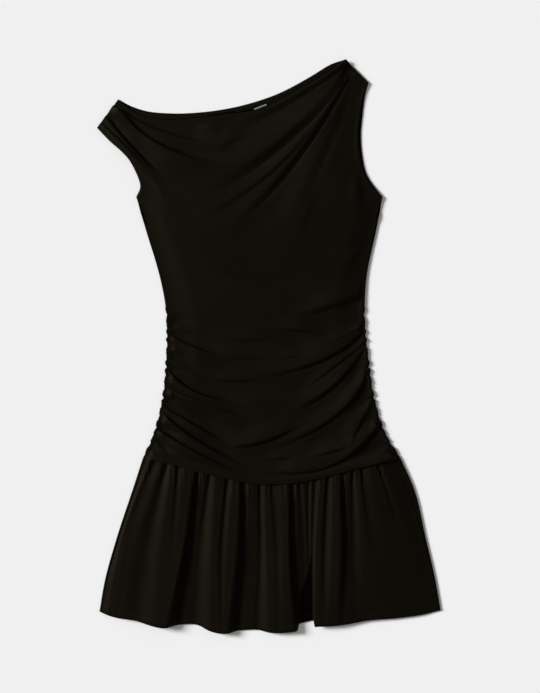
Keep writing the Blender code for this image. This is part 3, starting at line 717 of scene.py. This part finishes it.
def skirt_edges(down):
    """Where the front skirt's two side edges lie at a place down the skirt."""
    station = station_at(SKIRT_SIDE, down)
    low_strip, high_strip = strips_at(SKIRT_STRIP, down)
    radius = skirt_radius(down)
    low = station.low_x + roll_profile(1.0, low_strip, radius)[-1][0] + SEAM_GAP
    high = station.high_x - roll_profile(1.0, high_strip, radius)[-1][0] - SEAM_GAP
    return low, high


def waist_height(x):
    """The Y of the bodice's lower edge."""
    return row_height(SIDE[-1], x)


def gather_lines():
    """Each line down the front skirt: where it lies at waist, middle and hem, and its height there."""
    edges = [skirt_edges(down) for down in (0, 0.5, 1)]
    edge_rises = [seam_level(skirt_radius(down)) for down in (0, 0.5, 1)]
    lines = [([low for low, _ in edges], edge_rises)]
    for line in SKIRT_LINES:
        places = [line.waist, line.middle, line.hem]
        lines.append((places, [line.waist_rise, line.middle_rise, line.hem_rise]))
    lines.append(([high for _, high in edges], edge_rises))
    return lines


def blended(values, steps):
    """The values with more between each two, easing from one to the next."""
    out = []
    for a, b in zip(values, values[1:]):
        out += [(a, b, k / steps) for k in range(steps)]
    out.append((values[-1], values[-1], 0.0))
    return np.array(out)


def front_skirt_grid():
    """The middle surface of the front skirt, hanging in gathers from the waist."""
    lines = gather_lines()
    grid = []
    for i in range(SKIRT_ROWS):
        down = (i / (SKIRT_ROWS - 1)) ** ROW_CROWDING
        low, high = skirt_edges(down)
        x = np.array([smooth(down, (0, 0.5, 1), places) for places, _ in lines], float)
        x[0], x[-1] = low, high
        emerging = float(ease(down, 0, SKIRT_EMERGED))
        at_waist = np.array([rises[0] for _, rises in lines])
        in_skirt = np.array([smooth(max(down, SKIRT_FULL), (0, 0.5, 1), rises) for _, rises in lines])
        z = at_waist + emerging * (in_skirt - at_waist)
        a, b, t = blended(x, SKIRT_STEPS).T
        x = a + (b - a) * t
        a, b, t = blended(z, SKIRT_STEPS).T
        z = a + (b - a) * ease(t)
        to_side = np.minimum(x - low, high - x)
        tuck = (TUCK + SEAM_GAP) * ease(to_side, TUCK_CLEAR, TUCK_FULL) - SEAM_GAP
        top = waist_height(x) + tuck
        y = top + (hem_height(x) - top) * down
        inside = ease(to_side, 0, SKIRT_PINCH)
        wander = PUCKER_WANDER * np.sin(2 * math.pi * x / PUCKER_WANDER_PITCH)
        puckers = np.sin(2 * math.pi * x / PUCKER_PITCH + wander)
        faded = float(ease(down, 0.0, WAIST_PUCKER_STARTS)) * (1 - float(ease(down, *WAIST_PUCKER_ENDS)))
        z = z + inside * (WAIST_PUCKER * puckers * faded + swell_height(x, y) * emerging)
        z = np.maximum(z, LEAST_FRONT_LEVEL)
        grid.append(np.stack([x, y, z], axis=-1))
    return np.array(grid)


def valley_shade_faces():
    """Which faces of the front skirt lie at the bottom of the deep valley that ends at the hem's notch, where
    shade is painted.
    """
    down = np.linspace(0, 1, SKIRT_ROWS - 1)[:, None] ** ROW_CROWDING
    column = np.arange((len(SKIRT_LINES) + 1) * SKIRT_STEPS)[None, :] / SKIRT_STEPS - 1
    narrowest = VALLEY_SHADE.last_line - 0.5
    first = narrowest - (narrowest - VALLEY_SHADE.first_line) * ease(down, VALLEY_SHADE.starts, VALLEY_SHADE.full)
    return (column >= first) & (column < VALLEY_SHADE.last_line) & (down > VALLEY_SHADE.starts)


def back_skirt_grid():
    grid = []
    for i in range(SKIRT_ROWS // 2):
        down = i / (SKIRT_ROWS // 2 - 1)
        station = station_at(SKIRT_SIDE, down)
        low_strip, high_strip = strips_at(SKIRT_STRIP, down)
        radius = skirt_radius(down)
        profiles = roll_profile(1.0, low_strip, radius), roll_profile(1.0, high_strip, radius)

        def heights(x):
            across = np.clip((x - station.low_x) / (station.high_x - station.low_x), 0, 1)
            top = waist_height(x) - SEAM_GAP
            ends = SKIRT_SIDE[-1]
            hem = ends.low_y + (ends.high_y - ends.low_y) * across
            hem = hem - BACK_HEM_DROP * np.sin(math.pi * across)
            return top + (hem - top) * down

        grid.append(back_row(station, profiles, heights, BACK_COLUMNS, 2 * radius))
    return np.array(grid)


def normals_of(grid):
    """Directions square to a grid of middle points, ending square at its first and last rows."""
    across = np.gradient(grid, axis=1)
    down = np.gradient(grid, axis=0)
    normal = np.cross(down, across)
    normal[[0, -1], :, 1] = 0
    return normal / np.linalg.norm(normal, axis=-1, keepdims=True)


def distance_across(grid, axis):
    """Distance along the cloth from the grid's first row (axis 0) or first column (axis 1)."""
    steps = np.linalg.norm(np.diff(grid, axis=axis), axis=-1)
    first = np.zeros_like(np.take(steps, [0], axis=axis))
    return np.concatenate([first, np.cumsum(steps, axis=axis)], axis=axis)


def turned_edge(distance, width):
    """Extra height of a turned and stitched edge: a flat band with its two stitch lines."""
    before, beyond = BAND_SOFTNESS
    band = 1 - ease(distance, width - before, width + beyond)
    outer = np.exp(-(((distance - width) / GROOVE_WIDTH) ** 2))
    inner = np.exp(-(((distance - width + TWIN_NEEDLE) / SECOND_GROOVE_WIDTH) ** 2))
    groove = outer + SECOND_GROOVE * inner
    rounded = EDGE_ROUNDING * (1 - ease(distance, 0, EDGE_ROUNDED_BY))
    return HEM_EXTRA * band - HEM_GROOVE * groove - rounded


def wall_mesh(name, grid, extra, materials, inside=None):
    """A closed wall of cloth round a grid of middle points, its upper face raised by extra.

    Faces of the upper side where inside is true take the second material, which paints shade on them.
    """
    normal = normals_of(grid)
    upper = grid + normal * (CLOTH / 2 + extra)[..., None]
    lower = grid - normal * CLOTH / 2
    lower[..., 2] = np.maximum(lower[..., 2], 0.05)
    rows, columns = grid.shape[:2]
    size = rows * columns
    index = np.arange(size).reshape(rows, columns)
    a, b, c, d = index[:-1, :-1], index[1:, :-1], index[1:, 1:], index[:-1, 1:]
    top = np.stack([a, b, c, d], axis=-1).reshape(-1, 4)
    bottom = np.stack([a, d, c, b], axis=-1).reshape(-1, 4) + size
    border = np.array([*index[:, 0], *index[-1, 1:], *index[-2::-1, -1], *index[0, -2:0:-1]])
    after = np.roll(border, -1)
    rim = np.stack([after, border, border + size, after + size], axis=-1)
    faces = np.concatenate([top, bottom, rim])
    points = np.concatenate([upper.reshape(-1, 3), lower.reshape(-1, 3)]) * MM
    mesh = bpy.data.meshes.new(name)
    mesh.from_pydata(points.tolist(), [], faces.tolist())
    across = distance_across(grid, 1)
    down = distance_across(grid, 0)
    flat = np.stack([across - across[:, [columns // 2]], -down], axis=-1).reshape(-1, 2) * MM
    flat = np.concatenate([flat, flat])
    corners = np.empty(len(mesh.loops), np.int32)
    mesh.loops.foreach_get("vertex_index", corners)
    mesh.uv_layers.new(name="cloth").data.foreach_set("uv", flat[corners].ravel())
    mesh.update()
    mesh.shade_smooth()
    mesh.set_sharp_from_angle(angle=SHARP_EDGE)
    for material in materials:
        mesh.materials.append(material)
    if inside is not None:
        index = np.zeros(len(mesh.polygons), np.int32)
        index[: inside.size] = inside.ravel()
        mesh.polygons.foreach_set("material_index", index)
    piece = bpy.data.objects.new(name, mesh)
    bpy.context.scene.collection.objects.link(piece)
    return piece


def face_middles(grid):
    return (grid[:-1, :-1] + grid[1:, :-1] + grid[1:, 1:] + grid[:-1, 1:]) / 4


def inside_line(grid, axis, at, from_end=False):
    """The points at a set distance in from the first row (axis 0) or column (axis 1), or from the last."""
    lines = grid if axis == 1 else np.swapaxes(grid, 0, 1)
    if from_end:
        lines = lines[:, ::-1]
    distance = distance_across(lines, 1)
    found = []
    for line, far in zip(lines, distance):
        found.append([np.interp(at, far, line[:, k]) for k in range(3)])
    return np.array(found)


def upper_face(grid, extra):
    return grid + normals_of(grid) * (CLOTH / 2 + extra)[..., None]


def stitch_nodes(material):
    """Geometry Nodes that lay short stitches end to end along a line of points."""
    tree = bpy.data.node_groups.new("stitch_row", "GeometryNodeTree")
    tree.is_modifier = True
    tree.interface.new_socket("Geometry", in_out="INPUT", socket_type="NodeSocketGeometry")
    for name in ("Pitch", "Length", "Width"):
        tree.interface.new_socket(name, in_out="INPUT", socket_type="NodeSocketFloat")
    tree.interface.new_socket("Geometry", in_out="OUTPUT", socket_type="NodeSocketGeometry")
    nodes, links = tree.nodes, tree.links
    given = nodes.new("NodeGroupInput")
    result = nodes.new("NodeGroupOutput")
    to_curve = nodes.new("GeometryNodeMeshToCurve")
    resample = nodes.new("GeometryNodeResampleCurve")
    resample.mode = "LENGTH"
    ball = nodes.new("GeometryNodeMeshUVSphere")
    ball.inputs["Segments"].default_value = 6
    ball.inputs["Rings"].default_value = 5
    ball.inputs["Radius"].default_value = 0.5
    size = nodes.new("ShaderNodeCombineXYZ")
    tangent = nodes.new("GeometryNodeInputTangent")
    turn = nodes.new("FunctionNodeAlignRotationToVector")
    turn.axis = "X"
    place = nodes.new("GeometryNodeInstanceOnPoints")
    realize = nodes.new("GeometryNodeRealizeInstances")
    shade = nodes.new("GeometryNodeSetShadeSmooth")
    finish = nodes.new("GeometryNodeSetMaterial")
    finish.inputs["Material"].default_value = material
    links.new(given.outputs["Geometry"], to_curve.inputs["Mesh"])
    links.new(to_curve.outputs["Curve"], resample.inputs["Curve"])
    links.new(given.outputs["Pitch"], resample.inputs["Length"])
    links.new(given.outputs["Length"], size.inputs["X"])
    links.new(given.outputs["Width"], size.inputs["Y"])
    links.new(given.outputs["Width"], size.inputs["Z"])
    links.new(tangent.outputs["Tangent"], turn.inputs["Vector"])
    links.new(resample.outputs["Curve"], place.inputs["Points"])
    links.new(ball.outputs["Mesh"], place.inputs["Instance"])
    links.new(turn.outputs["Rotation"], place.inputs["Rotation"])
    links.new(size.outputs["Vector"], place.inputs["Scale"])
    links.new(place.outputs["Instances"], shade.inputs["Geometry"])
    links.new(shade.outputs["Geometry"], realize.inputs["Geometry"])
    links.new(realize.outputs["Geometry"], finish.inputs["Geometry"])
    links.new(finish.outputs["Geometry"], result.inputs["Geometry"])
    return tree


def stitch_piece(name, lines, tree, material):
    """Rows of stitches along the lines, made by Geometry Nodes and then kept as a plain mesh."""
    points, edges = [], []
    for line in lines:
        first = len(points)
        points += [tuple(point * MM) for point in line]
        edges += [(first + k, first + k + 1) for k in range(len(line) - 1)]
    guide = bpy.data.meshes.new(name + "_guide")
    guide.from_pydata(points, edges, [])
    piece = bpy.data.objects.new(name, guide)
    bpy.context.scene.collection.objects.link(piece)
    modifier = piece.modifiers.new("stitches", "NODES")
    modifier.node_group = tree
    sizes = {"Pitch": STITCH_PITCH, "Length": STITCH_LENGTH, "Width": STITCH_WIDTH}
    for item in tree.interface.items_tree:
        if item.in_out == "INPUT" and item.name in sizes:
            modifier[item.identifier] = sizes[item.name] * MM
    graph = bpy.context.evaluated_depsgraph_get()
    mesh = bpy.data.meshes.new_from_object(piece.evaluated_get(graph), depsgraph=graph)
    mesh.name = name
    piece.modifiers.clear()
    piece.data = mesh
    bpy.data.meshes.remove(guide)
    if not mesh.materials:
        mesh.materials.append(material)
    return piece


def rounded_tab(name, size, corner, place, turn, bottom, material):
    """A flat tab with rounded corners, lying at a place and turned."""
    width, height, thickness = size
    outline = []
    for quarter, (side_x, side_y) in enumerate(((1, 1), (-1, 1), (-1, -1), (1, -1))):
        for k in range(CORNER_STEPS):
            angle = math.radians(90 * (quarter + k / (CORNER_STEPS - 1)))
            x = side_x * (width / 2 - corner) + corner * math.cos(angle)
            y = side_y * (height / 2 - corner) + corner * math.sin(angle)
            outline.append((x, y))
    cos, sin = math.cos(turn), math.sin(turn)
    points = []
    for z in (bottom, bottom + thickness):
        for x, y in outline:
            where = (place[0] + x * cos - y * sin, place[1] + x * sin + y * cos, z)
            points.append([value * MM for value in where])
    count = len(outline)
    faces = [tuple(reversed(range(count))), tuple(range(count, 2 * count))]
    for i in range(count):
        j = (i + 1) % count
        faces.append((i, j, j + count, i + count))
    mesh = bpy.data.meshes.new(name)
    mesh.from_pydata(points, [], faces)
    mesh.update()
    mesh.materials.append(material)
    piece = bpy.data.objects.new(name, mesh)
    bpy.context.scene.collection.objects.link(piece)
    return piece


class Graph:
    """Short ways to add and join shader nodes."""

    def __init__(self, tree):
        self.tree = tree

    def node(self, kind, **settings):
        made = self.tree.nodes.new(kind)
        for name, value in settings.items():
            setattr(made, name, value)
        return made

    def set(self, socket, value):
        if isinstance(value, bpy.types.NodeSocket):
            self.tree.links.new(value, socket)
        else:
            socket.default_value = value

    def math(self, operation, *values):
        made = self.node("ShaderNodeMath", operation=operation)
        for socket, value in zip(made.inputs, values):
            self.set(socket, value)
        return made.outputs[0]

    def mix(self, share, a, b):
        made = self.node("ShaderNodeMix", data_type="RGBA")
        self.set(made.inputs["Factor"], share)
        self.set(made.inputs[6], a)
        self.set(made.inputs[7], b)
        return made.outputs[2]

    def noise(self, vector, scale, detail=3.0, roughness=0.5):
        made = self.node("ShaderNodeTexNoise")
        self.set(made.inputs["Vector"], vector)
        made.inputs["Scale"].default_value = scale
        made.inputs["Detail"].default_value = detail
        made.inputs["Roughness"].default_value = roughness
        return made.outputs["Fac"]


def knit_group():
    """A jersey's wales and courses: puts out the height of the knit, and a mask of its hollows for painted
    shade.
    """
    tree = bpy.data.node_groups.new("knit", "ShaderNodeTree")
    tree.interface.new_socket("Cloth", in_out="INPUT", socket_type="NodeSocketVector")
    tree.interface.new_socket("Height", in_out="OUTPUT", socket_type="NodeSocketFloat")
    tree.interface.new_socket("HollowShade", in_out="OUTPUT", socket_type="NodeSocketFloat")
    g = Graph(tree)
    given = g.node("NodeGroupInput")
    result = g.node("NodeGroupOutput")
    parts = g.node("ShaderNodeSeparateXYZ")
    g.set(parts.inputs[0], given.outputs["Cloth"])
    wale = g.math("FRACT", g.math("MULTIPLY", parts.outputs["X"], 1 / (WALE * MM)))
    from_middle = g.math("ABSOLUTE", g.math("SUBTRACT", g.math("MULTIPLY", wale, 2.0), 1.0))
    course = g.math("MULTIPLY", parts.outputs["Y"], 1 / (COURSE * MM))
    leaning = g.math("ADD", course, g.math("MULTIPLY", from_middle, 0.55))
    loop = g.math("SINE", g.math("MULTIPLY", leaning, 2 * math.pi))
    loop = g.math("ADD", g.math("MULTIPLY", loop, 0.5), 0.5)
    strand = g.math("SINE", g.math("MULTIPLY", from_middle, math.pi))
    height = g.math("MULTIPLY", strand, g.math("ADD", g.math("MULTIPLY", loop, 0.6), 0.4))
    g.set(result.inputs["Height"], height)
    g.set(result.inputs["HollowShade"], g.math("SUBTRACT", 1.0, height))
    return tree


def jersey_material(name, knit, dark, light, specular):
    """Warm black jersey: a matt knit, fuzzy close up, a little uneven in its dye and with shade painted in
    the knit's hollows.
    """
    material = bpy.data.materials.new(name)
    material.use_nodes = True
    g = Graph(material.node_tree)
    shader = material.node_tree.nodes["Principled BSDF"]
    coordinates = g.node("ShaderNodeTexCoord")
    cloth = g.node("ShaderNodeGroup", node_tree=knit)
    g.set(cloth.inputs["Cloth"], coordinates.outputs["UV"])
    spread = g.noise(coordinates.outputs["Object"], DYE_SCALE, 4.0, 0.6)
    fine = g.noise(coordinates.outputs["Object"], FUZZ_SCALE, 2.0, 0.6)
    share = g.math("ADD", g.math("MULTIPLY", spread, 0.55), g.math("MULTIPLY", fine, 0.45))
    colour = g.mix(share, (*dark, 1.0), (*light, 1.0))
    # Painted shade: the knit's hollows are darkened
    darker = g.mix(g.math("MULTIPLY", cloth.outputs["HollowShade"], HOLLOW_SHADE_SHARE), colour, HOLLOW_SHADE_COLOUR)
    g.set(shader.inputs["Base Color"], darker)
    uneven = g.math("MULTIPLY", spread, ROUGHNESS_SPREAD)
    g.set(shader.inputs["Roughness"], g.math("ADD", JERSEY_ROUGHNESS, uneven))
    shader.inputs["Specular IOR Level"].default_value = specular
    shader.inputs["Specular Tint"].default_value = JERSEY_TINT
    bump = g.node("ShaderNodeBump")
    bump.inputs["Strength"].default_value = 0.5
    bump.inputs["Distance"].default_value = KNIT_DEPTH * MM
    fuzz = g.math("ADD", cloth.outputs["Height"], g.math("MULTIPLY", fine, 0.8))
    g.set(bump.inputs["Height"], fuzz)
    g.set(shader.inputs["Normal"], bump.outputs["Normal"])
    return material


def plain_material(name, dark, light, roughness, scale, depth):
    """A yarn or woven finish: two close colours mixed by noise, with its own fine relief."""
    material = bpy.data.materials.new(name)
    material.use_nodes = True
    g = Graph(material.node_tree)
    shader = material.node_tree.nodes["Principled BSDF"]
    coordinates = g.node("ShaderNodeTexCoord")
    grain = g.noise(coordinates.outputs["Object"], scale, 3.0, 0.6)
    g.set(shader.inputs["Base Color"], g.mix(grain, (*dark, 1.0), (*light, 1.0)))
    g.set(shader.inputs["Roughness"], g.math("ADD", roughness - 0.08, g.math("MULTIPLY", grain, 0.16)))
    shader.inputs["Specular IOR Level"].default_value = YARN_SPECULAR
    bump = g.node("ShaderNodeBump")
    bump.inputs["Strength"].default_value = 0.6
    bump.inputs["Distance"].default_value = depth * MM
    g.set(bump.inputs["Height"], grain)
    g.set(shader.inputs["Normal"], bump.outputs["Normal"])
    return material


def add_stage():
    """A plain pale floor, one soft lamp from the left, a pale sky and the camera above."""
    half = FLOOR_SIZE / 2
    mesh = bpy.data.meshes.new("floor")
    corners = [(-half, -half, 0), (half, -half, 0), (half, half, 0), (-half, half, 0)]
    mesh.from_pydata(corners, [], [(0, 1, 2, 3)])
    paint = bpy.data.materials.new("floor_paint")
    paint.use_nodes = True
    shader = paint.node_tree.nodes["Principled BSDF"]
    shader.inputs["Base Color"].default_value = (*FLOOR_COLOUR, 1.0)
    shader.inputs["Roughness"].default_value = 0.9
    shader.inputs["Specular IOR Level"].default_value = 0.0
    mesh.materials.append(paint)
    floor = bpy.data.objects.new("floor", mesh)
    bpy.context.scene.collection.objects.link(floor)
    lamp = bpy.data.lights.new("sun", "SUN")
    lamp.energy = SUN_STRENGTH
    lamp.angle = SUN_ANGLE
    sun = bpy.data.objects.new("sun", lamp)
    sun.rotation_euler = Vector(SUN_FROM).to_track_quat("Z", "Y").to_euler()
    bpy.context.scene.collection.objects.link(sun)
    world = bpy.data.worlds.new("sky")
    world.use_nodes = True
    background = world.node_tree.nodes["Background"]
    background.inputs["Color"].default_value = (*SKY_COLOUR, 1.0)
    background.inputs["Strength"].default_value = SKY_STRENGTH
    bpy.context.scene.world = world
    lens = bpy.data.cameras.new("camera")
    lens.lens = CAMERA_LENS
    camera = bpy.data.objects.new("camera", lens)
    camera.location = CAMERA_PLACE
    bpy.context.scene.collection.objects.link(camera)
    bpy.context.scene.camera = camera
    bpy.context.scene.view_settings.view_transform = "Standard"


def main():
    knit = knit_group()
    jersey = jersey_material("jersey_knit", knit, JERSEY_DARK, JERSEY_LIGHT, JERSEY_SPECULAR)
    # A darker copy of the jersey, which paints shade behind the front neck edge and in the skirt's deep
    # valley
    shaded = jersey_material("jersey_painted_shade", knit, PAINTED_SHADE_DARK, PAINTED_SHADE_LIGHT, PAINTED_SHADE_SPECULAR)
    thread = plain_material("thread", THREAD_DARK, THREAD_LIGHT, 0.6, 2500.0, 0.08)
    tape = plain_material("label_tape", TAPE_DARK, TAPE_LIGHT, 0.75, 1800.0, 0.1)
    pale = plain_material("label_yarn", PALE_DARK, PALE_LIGHT, 0.8, 1800.0, 0.1)
    tree = stitch_nodes(thread)

    # Front bodice: turned at the neck and both armholes
    grid = front_bodice_grid()
    rows = bodice_rows(FRONT_ROWS)
    armhole_rows = slice(FRONT_ROWS.shoulder, FRONT_ROWS.shoulder + FRONT_ROWS.armhole + 1)
    free_sides = ease(column_of(rows, "armhole"), 0.0, 0.3)
    from_low = distance_across(grid, 1)
    from_high = from_low[:, [-1]] - from_low
    from_neck = distance_across(grid, 0)
    extra = turned_edge(from_neck, NECK_TURN)
    extra = extra + free_sides * (turned_edge(from_low, ARMHOLE_TURN) + turned_edge(from_high, ARMHOLE_TURN))
    front_bodice = wall_mesh("front_bodice_cloth", grid, extra, [jersey])
    front_neck = grid[0]
    face = upper_face(grid, extra - STITCH_SINK)
    neck_lines = [inside_line(face, 0, NECK_TURN)[2:-2], inside_line(face, 0, NECK_TURN - TWIN_NEEDLE)[2:-2]]
    front_neck_stitches = stitch_piece("front_neck_stitches", neck_lines, tree, thread)
    around = face[armhole_rows]
    armhole_lines = [
        inside_line(around, 1, at, from_end)
        for from_end in (False, True)
        for at in (ARMHOLE_TURN, ARMHOLE_TURN - TWIN_NEEDLE)
    ]
    armhole_stitches = stitch_piece("armhole_stitches", armhole_lines, tree, thread)

    # Back bodice: turned at the neck
    grid = back_bodice_grid()
    extra = turned_edge(distance_across(grid, 0), NECK_TURN)
    # Painted shade: the back's faces just beyond the front neck edge take the darker copy of the jersey
    middles = face_middles(grid)
    gap_shade_widths = smooth(middles[..., 0], [gap.x for gap in NECK_GAP_SHADE], [gap.width for gap in NECK_GAP_SHADE])
    inside = middles[..., 1] < np.interp(middles[..., 0], front_neck[:, 0], front_neck[:, 1]) + gap_shade_widths
    back_bodice = wall_mesh("back_bodice_cloth", grid, extra, [jersey, shaded], inside)
    face = upper_face(grid, extra - STITCH_SINK)
    neck_lines = [inside_line(face, 0, NECK_TURN)[4:-4], inside_line(face, 0, NECK_TURN - TWIN_NEEDLE)[4:-4]]
    back_neck_stitches = stitch_piece("back_neck_stitches", neck_lines, tree, thread)

    # Front skirt and back skirt: turned at the hem
    hem_stitches = []
    skirts = []
    # The front skirt's deep valley takes the darker copy of the jersey, as painted shade
    panels = (
        ("front_skirt", front_skirt_grid(), valley_shade_faces()),
        ("back_skirt", back_skirt_grid(), None),
    )
    for name, grid, inside in panels:
        down = distance_across(grid, 0)
        from_hem = down[[-1]] - down
        extra = turned_edge(from_hem, HEM_TURN)
        skirts.append(wall_mesh(name + "_cloth", grid, extra, [jersey, shaded], inside))
        face = upper_face(grid, extra - STITCH_SINK)
        lines = [inside_line(face, 0, at, True)[1:-1] for at in (HEM_TURN, HEM_TURN - TWIN_NEEDLE)]
        hem_stitches.append(stitch_piece(name.replace("skirt", "hem") + "_stitches", lines, tree, thread))
    front_skirt, back_skirt = skirts

    # Label
    label = rounded_tab("label_tab", LABEL_SIZE, LABEL_CORNER, LABEL_PLACE, LABEL_TURN, LABEL_BOTTOM, tape)
    turned_up = (-math.sin(LABEL_TURN) * BAR_UP, math.cos(LABEL_TURN) * BAR_UP)
    bar_place = (LABEL_PLACE[0] + turned_up[0], LABEL_PLACE[1] + turned_up[1])
    bar_bottom = LABEL_BOTTOM + LABEL_SIZE[2] - BAR_SINK
    bar = rounded_tab("label_bar", BAR_SIZE, BAR_CORNER, bar_place, LABEL_TURN, bar_bottom, pale)

    stitches = [front_neck_stitches, armhole_stitches, back_neck_stitches, *hem_stitches]
    for piece in (front_bodice, back_bodice, front_skirt, back_skirt, label, bar, *stitches):
        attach(piece, "root")
    for piece, node in (
        (front_bodice, "front_bodice"),
        (back_bodice, "back_bodice"),
        (front_skirt, "front_skirt"),
        (back_skirt, "back_skirt"),
        (label, "neck_label"),
    ):
        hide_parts(node)
    add_stage()


main()
